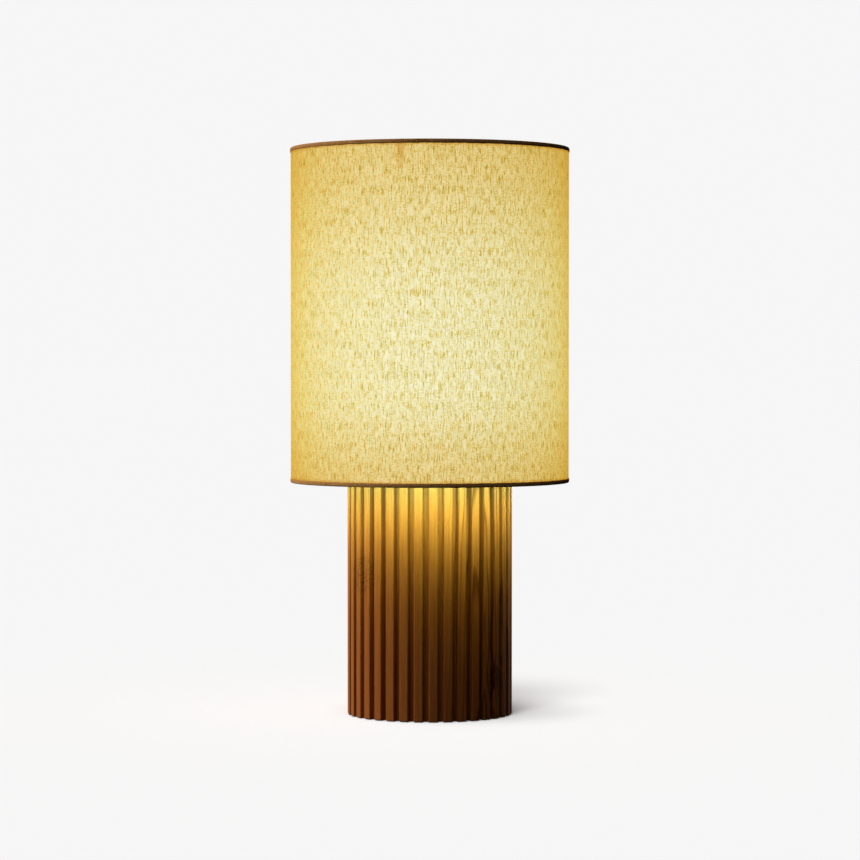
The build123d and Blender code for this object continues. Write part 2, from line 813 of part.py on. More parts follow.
pieces = {
    "fluted_column": fluted_column(),
    "column_top_disc": column_top_disc(),
    "column_base_disc": column_base_disc(),
    "base_disc_screws": base_disc_screws(),
    "ballast_plate": ballast_plate(),
    "felt_pad": felt_pad(),
    "cord_bushing": cord_bushing(),
    "base_washer": base_washer(),
    "base_nut": base_nut(),
    "threaded_pipe": threaded_pipe(),
    "top_washer": top_washer(),
    "top_nut": top_nut(),
    "harp_saddle": harp_saddle(),
    "harp": harp(),
    "harp_sleeve_right": harp_sleeve(1),
    "harp_sleeve_left": harp_sleeve(-1),
    "harp_stud": harp_stud(),
    "socket_cap": socket_cap(),
    "socket_set_screw": socket_set_screw(),
    "socket_shell": socket_shell(),
    "socket_insulator": socket_insulator(),
    "socket_switch_body": socket_switch_body(),
    "terminal_screws": terminal_screws(),
    "socket_screw_shell": socket_screw_shell(),
    "socket_centre_contact": socket_centre_contact(),
    "switch_shaft": switch_shaft(),
    "switch_knob": switch_knob(),
    "bulb_contact": bulb_contact(),
    "bulb_insulator": bulb_insulator(),
    "bulb_screw_base": bulb_screw_base(),
    "bulb_housing": bulb_housing(),
    "bulb_led_board": bulb_led_board(),
    "bulb_globe": bulb_globe(),
    "shade_liner": shade_liner(),
    "shade_fabric": shade_fabric(),
    "shade_top_hem": shade_hem(shade_top_z, -1),
    "shade_bottom_hem": shade_hem(shade_z, 1),
    "shade_top_ring": shade_ring(shade_top_z - ring_inset),
    "shade_bottom_ring": shade_ring(shade_z + ring_inset),
    "shade_spider": shade_spider(),
    "finial_insert": finial_insert(),
    "finial_knob": finial_knob(),
}

os.makedirs("parts", exist_ok=True)
for name, piece in pieces.items():
    solids = piece if isinstance(piece, list) else [piece]
    export_step(Compound([solid for item in solids for solid in item.solids()]), f"parts/{name}.step")
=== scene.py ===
"""Looks for a table lamp: a fluted walnut column under a tall drum shade of lit, slubby linen."""

import math

import bpy
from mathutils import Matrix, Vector, noise


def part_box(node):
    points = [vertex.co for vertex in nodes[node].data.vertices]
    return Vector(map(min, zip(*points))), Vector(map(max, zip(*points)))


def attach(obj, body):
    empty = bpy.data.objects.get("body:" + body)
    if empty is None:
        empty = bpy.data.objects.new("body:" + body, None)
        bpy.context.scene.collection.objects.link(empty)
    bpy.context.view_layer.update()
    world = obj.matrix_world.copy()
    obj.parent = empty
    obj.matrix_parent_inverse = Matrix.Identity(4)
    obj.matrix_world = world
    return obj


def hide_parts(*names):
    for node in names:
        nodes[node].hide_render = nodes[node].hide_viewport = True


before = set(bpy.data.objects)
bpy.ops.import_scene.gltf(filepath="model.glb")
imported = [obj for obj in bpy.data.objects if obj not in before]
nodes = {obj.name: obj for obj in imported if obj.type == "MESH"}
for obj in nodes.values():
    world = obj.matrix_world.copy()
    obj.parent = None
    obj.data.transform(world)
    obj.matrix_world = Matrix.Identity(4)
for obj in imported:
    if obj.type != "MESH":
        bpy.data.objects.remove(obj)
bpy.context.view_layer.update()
MM = 0.001

# The camera, at the photograph's place
CAMERA_DISTANCE = 2.802
CAMERA_HEIGHT = 0.3256
CAMERA_SIDE = 0.0002
CAMERA_PITCH = 1.346
CAMERA_FIELD = 15.98

# The studio: a pale backdrop, a low soft light from the left, fainter ones from the front and the back, and
# one more from the left for the linen
BACKDROP = 0.9216
FLOOR_SIZE = 400
FLOOR_COLOUR = 0.8
AMBIENT = 0.035
KEY = {"level": 1.12, "azimuth": -96, "elevation": 24, "spread": 46}
FILL = {"level": 0.145, "azimuth": -25, "elevation": 30, "spread": 40}
BACK = {"level": 0.45, "azimuth": -165, "elevation": 30, "spread": 40}
SIDE = {"level": 0.16, "azimuth": -80, "elevation": 24, "spread": 60}

# Two soft lights on the floor alone, which give the column's shadow, and their shares of its brightness
HIGH_SHADOW = {"azimuth": -57, "elevation": 80, "spread": 33}
HIGH_SHARE = 0.53
BACKWARD_SHADOW = {"azimuth": -14, "elevation": 47, "spread": 25}
BACKWARD_SHARE = 0.38

# The glow of the shade's inside on the top of the column: two rings of small panels of light inside the
# lining, one that shines mostly across and one that shines further down, both a little stronger on the right
GLOW_PANELS = 24
GLOW_PANEL_HEIGHT = 12 * MM
GLOW_SETBACK = 4 * MM
GLOW_RISE = 20 * MM
GLOW_LEAN = 0.25
GLOW_RINGS = (
    {"tilt": 20, "spread": 100, "radiance": (8.5, 26.5, 27)},
    {"tilt": 50, "spread": 60, "radiance": (8.6, 11.8, 2.2)},
)

# The cloth: the gap to what it is stretched on, the linen's lap and slubs, the folds, loose edges and puffs
# of the hems, and the felt's cut edge
SEAT_GAP = 0.05 * MM
LAP_WIDTH = 12 * MM
LAP_LIFT = 0.02 * MM
LAP_RAMP = 4 * MM
SLUB_RELIEF = 0.05 * MM
SLUBS_PER_RADIAN = 22
SLUBS_PER_METRE = 900
HEM_CLOTH = 0.4 * MM
HEM_CORNER = 1.3 * MM
HEM_SHOWN = 3.8 * MM
HEM_FRAY = 0.35 * MM
HEM_PUFF = 0.05 * MM
FRAYS_PER_RADIAN = 33
PUFFS_PER_RADIAN = 40
HEM_NOISE_PER_METRE = 9
LEG_SHARE = 0.6
FELT_FUZZ = 0.15 * MM
FUZZ_PER_RADIAN = 9

# The shade's sizes, read from the frame
linen_low, linen_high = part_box("shade_fabric")
liner_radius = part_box("shade_liner")[1].x
linen_radius = linen_high.x
linen_bottom = linen_low.z
linen_top = linen_high.z
linen_thickness = linen_radius - liner_radius - SEAT_GAP
hem_low, hem_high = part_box("shade_top_hem")
hem_height = hem_high.z - hem_low.z
shade_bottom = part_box("shade_bottom_hem")[0].z
shade_top = hem_high.z
ring_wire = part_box("shade_top_ring")[1].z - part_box("shade_top_ring")[0].z
ring_inner_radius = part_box("shade_top_ring")[1].x - ring_wire

# Where the bulb's glow is strongest on the linen, and how far it takes to fade to deep gold
bulb_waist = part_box("bulb_globe")[0].z + 12 * MM
GLOW_CORE_REACH = 30 * MM
GLOW_REACH_UP = 225 * MM
GLOW_REACH_DOWN = 150 * MM

# Linen's painted glow: near white-gold beside the bulb, and a step of gold deeper for every slub or shadow in
# the way
GLOW_CORE = (0.808, 0.83, 0.625)
GOLD = (0.836, 0.648, 0.33)
THREAD_GOLD = (0.785, 0.69, 0.33)
LIMB_TINT = (0.945, 0.835, 0.52)
OATMEAL = (0.46, 0.41, 0.34)
HEM_BROWN = (0.46, 0.22, 0.07)
PALEST_THREAD = -0.55
THREAD_PITCH = 0.62 * MM
SPIDER_ARMS = (-11.6, 108.4, -131.6)
# the painted shadow of each arm on the linen: how far down it reaches and how wide it is
ARM_SHADOW_HEIGHT = 28 * MM
ARM_SHADOW_WIDTH = 12 * MM

# Walnut: growth rings round a leaning pith just outside the column's right front, with a knot low there
PITH_SIDE = 35
PITH_DISTANCE = 90 * MM
PITH_LEAN = 0.04
RING_SPACING = 4 * MM
KNOT = (60 * MM, -45 * MM, 38 * MM)
KNOT_SIZE = 14 * MM
CURL = (-61 * MM, -44 * MM, 130 * MM)
CURL_SIZE = 24 * MM
WALNUT = (0.29, 0.085, 0.0165)
WALNUT_DEEPER = (0.40, 0.34, 0.30)

# The painted glow of the lining, and the light in the bulb
LINER_GLOW = (1.0, 0.90, 0.62)
LINER_STRENGTH = 0.55
GLOBE_GLOW = (1.0, 0.86, 0.58)
GLOBE_STRENGTH = 1.6
GLOBE_NECK = 14 * MM


class Paint:
    """The node tree of one material, with a Principled surface at its end."""

    def __init__(self, name):
        self.material = bpy.data.materials.new(name)
        self.material.use_nodes = True
        self.tree = self.material.node_tree
        self.tree.nodes.clear()
        self.surface = self.tree.nodes.new("ShaderNodeBsdfPrincipled")
        self.output = self.tree.nodes.new("ShaderNodeOutputMaterial")
        self.tree.links.new(self.surface.outputs["BSDF"], self.output.inputs["Surface"])
        self.place = self.tree.nodes.new("ShaderNodeTexCoord").outputs["Object"]

    def put(self, socket, value):
        """Links a socket or sets its own value."""
        if isinstance(value, bpy.types.NodeSocket):
            self.tree.links.new(value, socket)
        elif socket.type == "RGBA":
            socket.default_value = (*value[:3], 1)
        else:
            socket.default_value = value

    def set(self, **values):
        """Sets inputs of the surface, named with underscores for spaces."""
        for name, value in values.items():
            self.put(self.surface.inputs[name.replace("_", " ")], value)

    def math(self, operation, first, second=0.0):
        node = self.tree.nodes.new("ShaderNodeMath")
        node.operation = operation
        self.put(node.inputs[0], first)
        self.put(node.inputs[1], second)
        return node.outputs[0]

    def split(self, vector):
        node = self.tree.nodes.new("ShaderNodeSeparateXYZ")
        self.put(node.inputs[0], vector)
        return node.outputs

    def join(self, x, y, z):
        node = self.tree.nodes.new("ShaderNodeCombineXYZ")
        for socket, value in zip(node.inputs, (x, y, z)):
            self.put(socket, value)
        return node.outputs[0]

    def add(self, *terms):
        total = terms[0]
        for term in terms[1:]:
            total = self.math("ADD", total, term)
        return total

    def around_mean(self, value, amount):
        """A noise turned into an amount either side of nothing."""
        return self.math("MULTIPLY", self.math("SUBTRACT", value, 0.5), amount)

    def distance(self, vector, point):
        node = self.tree.nodes.new("ShaderNodeVectorMath")
        node.operation = "DISTANCE"
        self.put(node.inputs[0], vector)
        self.put(node.inputs[1], point)
        return node.outputs["Value"]

    def per(self, vector, sizes):
        """The vector counted in steps of these sizes along its three axes."""
        node = self.tree.nodes.new("ShaderNodeVectorMath")
        node.operation = "DIVIDE"
        self.put(node.inputs[0], vector)
        self.put(node.inputs[1], sizes)
        return node.outputs[0]

    def noise(self, vector, sizes, detail=2.0, rough=0.5, warp=0.0):
        """Noise from 0 to 1, mean 0.5, whose blobs have these sizes."""
        node = self.tree.nodes.new("ShaderNodeTexNoise")
        self.put(node.inputs["Vector"], self.per(vector, sizes))
        node.inputs["Scale"].default_value = 1
        node.inputs["Detail"].default_value = detail
        node.inputs["Roughness"].default_value = rough
        node.inputs["Distortion"].default_value = warp
        return node.outputs["Fac"]

    def between(self, value, low, high, start=0.0, end=1.0, smooth=False):
        """The value's range low..high carried to start..end, held at both ends."""
        node = self.tree.nodes.new("ShaderNodeMapRange")
        node.interpolation_type = "SMOOTHSTEP" if smooth else "LINEAR"
        for socket, number in zip(node.inputs, (value, low, high, start, end)):
            self.put(socket, number)
        return node.outputs[0]

    def mix(self, factor, first, second, blend="MIX"):
        node = self.tree.nodes.new("ShaderNodeMix")
        node.data_type = "RGBA"
        node.blend_type = blend
        self.put(node.inputs["Factor"], factor)
        self.put(node.inputs[6], first)
        self.put(node.inputs[7], second)
        return node.outputs[2]

    def filtered(self, colour, *layers):
        """The colour through layers, each a tint and its depth: times each tint to the power of its depth."""
        node = self.tree.nodes.new("ShaderNodeCombineColor")
        for channel, socket in enumerate(node.inputs):
            value = colour[channel]
            for tint, depth in layers:
                value = self.math("MULTIPLY", self.math("POWER", tint[channel], depth), value)
            self.put(socket, value)
        return node.outputs[0]

    def bump(self, height, depth, strength=1.0):
        node = self.tree.nodes.new("ShaderNodeBump")
        node.inputs["Strength"].default_value = strength
        node.inputs["Distance"].default_value = depth
        self.put(node.inputs["Height"], height)
        self.set(Normal=node.outputs[0])

    def around(self, radius):
        """The place on a drum of that radius: (distance round it from the front, height, 0)."""
        x, y, z = self.split(self.place)
        angle = self.math("ARCTAN2", x, self.math("MULTIPLY", y, -1))
        return self.join(self.math("MULTIPLY", angle, radius), z, 0.0)


def weave(paint, flat):
    """How much deeper than its ground the linen is at each place: threads, slubs, specks, uneven cloth."""
    slubs = paint.noise(flat, (0.95 * MM, 9 * MM, 1), detail=2, rough=0.6)
    upright = paint.noise(flat, (1.0 * MM, 2.6 * MM, 1), detail=2, rough=0.6)
    level = paint.noise(flat, (3.6 * MM, 0.9 * MM, 1), detail=1, rough=0.5)
    fibres = paint.noise(flat, (0.95 * MM, 1.1 * MM, 1), detail=1, rough=0.5)
    streaks = paint.noise(flat, (1.6 * MM, 16 * MM, 1), detail=2, rough=0.5)
    cloud = paint.noise(flat, (6 * MM, 9 * MM, 1), detail=3, rough=0.6)
    specks = paint.noise(flat, (1.2 * MM, 1.6 * MM, 1), detail=1, rough=0.5)
    depth = paint.add(
        paint.between(slubs, 0.50, 0.70, 0, 1.8),
        paint.around_mean(upright, 2.2),
        paint.around_mean(level, 2.2),
        paint.around_mean(fibres, 2.0),
        paint.around_mean(streaks, 1.5),
        paint.around_mean(cloud, 1.4),
        paint.between(specks, 0.72, 0.785, 0, 2.6),
        -0.34,
    )
    return paint.math("MAXIMUM", depth, PALEST_THREAD)


def thread_bump(paint, flat, depth):
    """The fine grid of crossing threads."""
    step = THREAD_PITCH / math.tau
    x, y, _ = paint.split(paint.per(flat, (step, step, 1)))
    grid = paint.math("MULTIPLY", paint.math("SINE", x), paint.math("SINE", y))
    slub = paint.noise(flat, (1.2 * MM, 6 * MM, 1), detail=2)
    paint.bump(paint.add(paint.math("MULTIPLY", grid, 0.5), slub), depth)


def glow_depth(paint, height):
    """0 beside the bulb, 1 where the glow has faded to deep gold."""
    lowest = bulb_waist - GLOW_REACH_DOWN
    above = paint.between(height, bulb_waist + GLOW_CORE_REACH, bulb_waist + GLOW_REACH_UP, smooth=True)
    below = paint.between(height, lowest, bulb_waist - GLOW_CORE_REACH, 1, 0, smooth=True)
    return paint.add(above, below)


def hem_shadow(paint, flat, height):
    """Painted shade beside each hem, where the folded cloth inside the edge dims the linen's glow, unevenly.
    """
    ragged = paint.noise(flat, (5 * MM, 3 * MM, 1), detail=3, rough=0.7)
    reach = paint.between(ragged, 0.35, 0.7, 1.2 * MM, 4.5 * MM)
    below_top = paint.math("SUBTRACT", shade_top - HEM_SHOWN, height)
    above_bottom = paint.math("SUBTRACT", height, shade_bottom + HEM_SHOWN)
    nearest = paint.math("MINIMUM", below_top, above_bottom)
    return paint.between(nearest, 0, reach, 1.0, 0, smooth=True)


def spider_shadow(paint, flat):
    """Painted shadow: soft upright marks where the arms of the shade's carrier come near the linen."""
    along, height, _ = paint.split(flat)
    drop = paint.math("SUBTRACT", shade_top - HEM_SHOWN, height)
    fading = paint.between(drop, 1 * MM, ARM_SHADOW_HEIGHT, 1, 0, smooth=True)
    arm_shadow = 0.0
    for arm in SPIDER_ARMS:
        away = paint.math("SUBTRACT", along, math.radians(arm) * linen_radius)
        near = paint.between(paint.math("ABSOLUTE", away), 1 * MM, ARM_SHADOW_WIDTH / 2, 1, 0, smooth=True)
        arm_shadow = paint.math("MAXIMUM", near, arm_shadow)
    return paint.math("MULTIPLY", arm_shadow, fading)


def linen_material():
    """Lit linen: the bulb's light through it is painted as an emitted glow, by how much cloth and shadow lie
    behind it.
    """
    paint = Paint("lit_linen")
    flat = paint.around(linen_radius)
    _, height, _ = paint.split(flat)
    fading = glow_depth(paint, height)
    # the threads show stronger where the painted glow fades, in the cloth's colour as well as in its glow
    threads = paint.math("MULTIPLY", weave(paint, flat), paint.between(fading, 0, 1, 1.03, 1.25))
    shadow = paint.add(
        fading,
        hem_shadow(paint, flat, height),
        spider_shadow(paint, flat),
    )
    paint.set(
        Base_Color=paint.filtered(OATMEAL, (THREAD_GOLD, paint.math("MULTIPLY", threads, 0.5))),
        Roughness=0.9,
        Specular_IOR_Level=0.05,
        # the emitted colour is painted light: the bulb's glow through the cloth, with painted shade beside the
        # hems and under the carrier's arms; the coat's tint deepens it towards the drum's edges
        Emission_Color=paint.filtered(GLOW_CORE, (GOLD, shadow), (THREAD_GOLD, threads)),
        Emission_Strength=1.0,
        Coat_Weight=1.0,
        Coat_Roughness=1.0,
        Coat_IOR=1.05,
        Coat_Tint=LIMB_TINT,
    )
    thread_bump(paint, flat, 0.15 * MM)
    return paint.material


def hem_material():
    """The same linen doubled over the wire, so that no light comes through."""
    paint = Paint("hem_linen")
    flat = paint.around(linen_radius)
    threads = weave(paint, flat)
    paint.set(
        Base_Color=paint.filtered(HEM_BROWN, (THREAD_GOLD, paint.math("MULTIPLY", threads, 0.6))),
        Roughness=0.92,
        Specular_IOR_Level=0.0,
    )
    thread_bump(paint, flat, 0.2 * MM)
    return paint.material


def ring_distance(paint):
    """How far each place of the wood lies from the tree's pith, pushed about by the knot and slow growth."""
    x, y, z = paint.split(paint.place)
    side = math.radians(PITH_SIDE)
    out = paint.add(PITH_DISTANCE, paint.math("MULTIPLY", z, PITH_LEAN))
    from_x = paint.math("SUBTRACT", x, paint.math("MULTIPLY", out, math.sin(side)))
    from_y = paint.math("ADD", y, paint.math("MULTIPLY", out, math.cos(side)))
    reach = paint.distance(paint.join(from_x, from_y, 0.0), (0, 0, 0))
    slow = paint.noise(paint.place, (24 * MM, 24 * MM, 110 * MM), detail=2)
    swirl = paint.between(paint.distance(paint.place, KNOT), 0, 2 * KNOT_SIZE, 3 * MM, 0, smooth=True)
    return paint.add(reach, paint.around_mean(slow, 7 * MM), swirl)


def walnut_material():
    """Oiled walnut: the lines of its growth rings, pores, fine upright grain, a curl of figure and a knot."""
    paint = Paint("walnut")
    x, _, _ = paint.split(paint.place)
    year = paint.math("FRACT", paint.math("DIVIDE", ring_distance(paint), RING_SPACING))
    growing = paint.between(year, 0.55, 0.9, smooth=True)
    late = paint.math("MULTIPLY", growing, paint.between(year, 0.94, 1.0, 1, 0))
    heart = paint.noise(paint.place, (16 * MM, 16 * MM, 90 * MM), detail=2)
    patchy = paint.between(heart, 0.35, 0.6, 0.3, 1)
    # the wood darker towards the column's right side (+X): its late rings bolder there and its colour deeper
    bold = paint.math("MULTIPLY", paint.between(x, 12 * MM, 40 * MM, 0.10, 1.3), patchy)
    darker_rightwards = paint.between(x, 20 * MM, 60 * MM, 0, 0.4)
    grain = paint.noise(paint.place, (1.1 * MM, 1.1 * MM, 45 * MM), detail=3, rough=0.6)
    pores = paint.noise(paint.place, (0.45 * MM, 0.45 * MM, 6 * MM), detail=2, rough=0.5)
    ripple = paint.noise(paint.place, (2.0 * MM, 2.0 * MM, 1.3 * MM), detail=2, rough=0.6, warp=1.2)
    curl = paint.between(paint.distance(paint.place, CURL), 0.3 * CURL_SIZE, CURL_SIZE, 1, 0, smooth=True)
    knot = paint.between(paint.distance(paint.place, KNOT), 0.25 * KNOT_SIZE, KNOT_SIZE, 1.6, 0, smooth=True)
    knot = paint.math("MULTIPLY", knot, paint.between(ripple, 0.35, 0.6, 0.3, 1))
    darkness = paint.add(
        darker_rightwards,
        paint.math("MULTIPLY", late, bold),
        paint.around_mean(grain, 0.9),
        paint.math("MULTIPLY", curl, paint.between(ripple, 0.48, 0.62, 0, 1.0)),
        paint.between(pores, 0.60, 0.72, 0, 0.35),
        knot,
    )
    paint.set(
        Base_Color=paint.filtered(WALNUT, (WALNUT_DEEPER, darkness)),
        Roughness=0.55,
        Specular_IOR_Level=0.02,
    )
    paint.bump(paint.math("SUBTRACT", grain, paint.between(pores, 0.6, 0.75)), 0.08 * MM, 0.5)
    return paint.material


def mottled(name, light, dark, grain, roughness, metallic=0.0, relief=0.0):
    """A finish whose colour and roughness wander over patches of this grain, with a relief if one is given."""
    paint = Paint(name)
    patches = paint.noise(paint.place, grain, detail=3, rough=0.6)
    paint.set(
        Base_Color=paint.mix(paint.between(patches, 0.3, 0.7), dark, light),
        Roughness=paint.between(patches, 0.3, 0.7, 0.85 * roughness, 1.15 * roughness),
        Metallic=metallic,
    )
    if relief:
        paint.bump(patches, relief)
    return paint


def zinc_steel():
    """Zinc plate: blue-grey, with faint spangle."""
    light = (0.66, 0.68, 0.70)
    dark = (0.50, 0.52, 0.55)
    return mottled("zinc_steel", light, dark, (2 * MM,) * 3, roughness=0.36, metallic=1.0).material


def brass():
    """Brass with the fine level lines of turning and forming."""
    light = (0.74, 0.52, 0.23)
    dark = (0.60, 0.40, 0.16)
    return mottled("brass", light, dark, (6 * MM, 6 * MM, 0.5 * MM), roughness=0.30, metallic=1.0).material


def nickel():
    """Nickel plate on the screw shells."""
    light = (0.70, 0.67, 0.62)
    dark = (0.58, 0.55, 0.50)
    return mottled("nickel", light, dark, (5 * MM, 5 * MM, 0.6 * MM), roughness=0.24, metallic=1.0).material


def solder():
    """A dull bead of solder."""
    light = (0.62, 0.62, 0.64)
    dark = (0.44, 0.44, 0.46)
    return mottled("solder", light, dark, (0.8 * MM,) * 3, 0.42, metallic=1.0, relief=0.05 * MM).material


def cast_iron():
    """Bare grey casting with its sandy skin."""
    light = (0.085, 0.085, 0.09)
    dark = (0.045, 0.045, 0.05)
    return mottled("cast_iron", light, dark, (0.9 * MM,) * 3, roughness=0.75, relief=0.25 * MM).material


def board():
    """Pressed wood fibre."""
    light = (0.46, 0.33, 0.19)
    dark = (0.34, 0.23, 0.12)
    grain = (2.4 * MM, 0.5 * MM, 0.5 * MM)
    return mottled("board", light, dark, grain, roughness=0.8, relief=0.06 * MM).material


def felt_material():
    """Charcoal felt, all loose short hairs."""
    light = (0.055, 0.05, 0.045)
    dark = (0.02, 0.018, 0.016)
    return mottled("felt", light, dark, (0.5 * MM,) * 3, roughness=1.0, relief=0.2 * MM).material


def black_plastic():
    """Black moulding with a fine spark-eroded skin."""
    light = (0.028, 0.028, 0.03)
    dark = (0.014, 0.014, 0.015)
    return mottled("black_plastic", light, dark, (0.4 * MM,) * 3, roughness=0.42, relief=0.02 * MM).material


def fibre():
    """The brown card sleeve that insulates the socket."""
    light = (0.24, 0.15, 0.08)
    dark = (0.15, 0.09, 0.045)
    grain = (0.6 * MM, 0.6 * MM, 3 * MM)
    return mottled("fibre", light, dark, grain, roughness=0.85, relief=0.04 * MM).material


def switch_block():
    """Dark brown phenolic moulding."""
    light = (0.055, 0.035, 0.025)
    dark = (0.03, 0.019, 0.014)
    return mottled("switch_block", light, dark, (1.2 * MM,) * 3, roughness=0.35).material


def white_plastic():
    """The bulb's off-white heat-sink housing."""
    light = (0.80, 0.79, 0.76)
    dark = (0.72, 0.71, 0.68)
    return mottled("white_plastic", light, dark, (1.5 * MM,) * 3, roughness=0.45, relief=0.01 * MM).material


def circuit_board():
    """White solder mask, greyer over the buried tracks."""
    light = (0.82, 0.82, 0.80)
    dark = (0.66, 0.67, 0.66)
    return mottled("circuit_board", light, dark, (3 * MM,) * 3, roughness=0.4).material


def white_wire():
    """White powder coat, a little orange-peeled."""
    light = (0.80, 0.79, 0.75)
    dark = (0.72, 0.71, 0.67)
    return mottled("white_wire", light, dark, (1.1 * MM,) * 3, roughness=0.5, relief=0.03 * MM).material


def liner_material():
    """The translucent cream lining, with the bulb's light on it painted as an emitted glow, brightest at the
    bulb's height.
    """
    paint = mottled("liner", (0.84, 0.80, 0.70), (0.76, 0.71, 0.60), (7 * MM,) * 3, 0.7, relief=0.01 * MM)
    _, _, height = paint.split(paint.place)
    paint.set(
        Emission_Color=paint.filtered(LINER_GLOW, (GOLD, glow_depth(paint, height))),
        Emission_Strength=LINER_STRENGTH,
    )
    return paint.material


def globe_material():
    """Frosted plastic, lit from inside, a little dimmer towards the housing."""
    paint = mottled("globe", (0.90, 0.88, 0.82), (0.84, 0.81, 0.74), (2 * MM,) * 3, 0.6)
    _, _, height = paint.split(paint.place)
    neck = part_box("bulb_globe")[0].z
    warmth = paint.between(height, neck, neck + GLOBE_NECK, 1.0, 0.0, smooth=True)
    paint.set(Emission_Color=paint.filtered(GLOBE_GLOW, (GOLD, warmth)), Emission_Strength=GLOBE_STRENGTH)
    return paint.material


def new_piece(name, points, faces):
    """A mesh object with smooth faces."""
    mesh = bpy.data.meshes.new(name)
    mesh.from_pydata(points, [], faces)
    mesh.polygons.foreach_set("use_smooth", [True] * len(faces))
    mesh.update()
    piece = bpy.data.objects.new(name, mesh)
    bpy.context.scene.collection.objects.link(piece)
    return piece


def on_drum(angle, radius, height):
    """A point by its angle from the back, going round towards +X."""
    return (radius * math.sin(angle), radius * math.cos(angle), height)


def linen_sheet():
    """The linen drum: one sheet wrapped round the lining and lapped over its own edge at the back."""
    turns = 480
    levels = 76
    lap_angle = LAP_WIDTH / linen_radius
    start = -lap_angle / 2
    end = math.tau + lap_angle / 2
    ramp = LAP_RAMP / linen_radius
    outer = []
    inner = []
    for step in range(turns + 1):
        angle = start + (end - start) * step / turns
        lifted = (angle - (math.tau - lap_angle / 2 - ramp)) / ramp
        rise = max(0.0, min(1.0, lifted)) * (linen_thickness + LAP_LIFT)
        for level in range(levels + 1):
            height = linen_bottom + (linen_top - linen_bottom) * level / levels
            if rise > 0:
                low = shade_bottom + hem_height + HEM_CLOTH
                high = shade_top - hem_height - HEM_CLOTH
                share = min(1.0, lifted)
                height = height + share * (min(max(height, low), high) - height)
            slub = noise.noise(Vector((angle * SLUBS_PER_RADIAN, height * SLUBS_PER_METRE, 0))) * SLUB_RELIEF
            outer.append(on_drum(angle, linen_radius + rise + slub - SLUB_RELIEF, height))
            inner.append(on_drum(angle, linen_radius + rise - linen_thickness + LAP_LIFT, height))
    stride = levels + 1
    skin = len(outer)
    faces = []
    for step in range(turns):
        for level in range(levels):
            a = step * stride + level
            b = a + stride
            faces.append((a, b, b + 1, a + 1))
            faces.append((skin + a, skin + a + 1, skin + b + 1, skin + b))
        for level, up in ((0, False), (levels, True)):
            a = step * stride + level
            b = a + stride
            edge = (a, skin + a, skin + b, b)
            faces.append(edge[::-1] if up else edge)
    for step, last in ((0, False), (turns, True)):
        for level in range(levels):
            a = step * stride + level
            edge = (a, a + 1, skin + a + 1, skin + a)
            faces.append(edge[::-1] if last else edge)
    return new_piece("linen_drum", outer + inner, faces)


def corner(centre, radius, start, end, steps=4):
    """Points on an arc, in the plane of radius and height."""
    points = []
    for step in range(steps + 1):
        angle = math.radians(start + (end - start) * step / steps)
        points.append((centre[0] + radius * math.cos(angle), centre[1] + radius * math.sin(angle)))
    return points


def hem_section(outer_radius, inner_radius, fold):
    """One face of the folded strip, this deep in it: up the outside, over the edge at 0, down the inside."""
    outside = [(outer_radius - fold, -HEM_SHOWN), (outer_radius - fold, -LEG_SHARE * HEM_SHOWN)]
    first = corner((outer_radius - HEM_CORNER, -HEM_CORNER), HEM_CORNER - fold, 0, 90)
    second = corner((inner_radius + HEM_CORNER, -HEM_CORNER), HEM_CORNER - fold, 90, 180)
    inside = [(inner_radius + fold, -LEG_SHARE * hem_height), (inner_radius + fold, -hem_height)]
    middle = [((outer_radius + inner_radius) / 2, -fold)]
    return outside + first + middle + second + inside


def hem_band(name, edge, up):
    """A strip of linen folded over the wire ring, whose loose edges wander as hand-rolled cloth does."""
    outer_radius = linen_radius + SEAT_GAP + HEM_CLOTH
    inner_radius = ring_inner_radius - SEAT_GAP - HEM_CLOTH
    skin = hem_section(outer_radius, inner_radius, 0)
    section = skin + hem_section(outer_radius, inner_radius, HEM_CLOTH)[::-1]
    turns = 420
    count = len(section)
    ends = (0, len(skin) - 1, len(skin), count - 1)
    points = []
    faces = []
    for step in range(turns):
        angle = math.tau * step / turns
        # the edge's height gives the two hems different noise
        ring = Vector((math.sin(angle), math.cos(angle), edge * HEM_NOISE_PER_METRE))
        for place, (radius, depth) in enumerate(section):
            puff = noise.noise(ring * PUFFS_PER_RADIAN + Vector((0, 0, 2 * depth / hem_height))) * HEM_PUFF
            fray = noise.noise(ring * FRAYS_PER_RADIAN) * HEM_FRAY if place in ends else 0.0
            height = edge + up * (depth - fray)
            points.append(on_drum(angle, radius + puff, height))
        for place in range(count):
            a = step * count + place
            b = step * count + (place + 1) % count
            c = (step + 1) % turns * count + (place + 1) % count
            d = (step + 1) % turns * count + place
            faces.append((a, b, c, d) if up > 0 else (a, d, c, b))
    return new_piece(name, points, faces)


def felt_disc():
    """The felt under the base: a thin disc whose cut edge is a little soft and uneven."""
    low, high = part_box("felt_pad")
    radius = high.x
    middle = (low.z + high.z) / 2
    soft = 0.1 * MM
    sections = [(0.985, low.z), (0.997, low.z + soft), (1.0, middle), (0.997, high.z - soft), (0.985, high.z)]
    turns = 160
    points = []
    for share, height in sections:
        for step in range(turns):
            angle = math.tau * step / turns
            fuzz = noise.noise(Vector(on_drum(angle, FUZZ_PER_RADIAN, 0))) * FELT_FUZZ
            points.append(on_drum(angle, share * (radius - FELT_FUZZ) + fuzz, height))
    faces = [tuple(range(turns)), tuple(range(len(points) - 1, len(points) - turns - 1, -1))]
    for row in range(len(sections) - 1):
        for step in range(turns):
            right = (step + 1) % turns
            a = row * turns
            faces.append((a + step, a + turns + step, a + turns + right, a + right))
    return new_piece("felt_disc", points, faces)


def dress(piece, body, node, material):
    """Gives a new piece its finish and its body, and hides the CAD node that it stands for."""
    piece.data.materials.append(material)
    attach(piece, body)
    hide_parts(node)


def assign(node, material):
    for slot in nodes[node].material_slots:
        slot.material = material


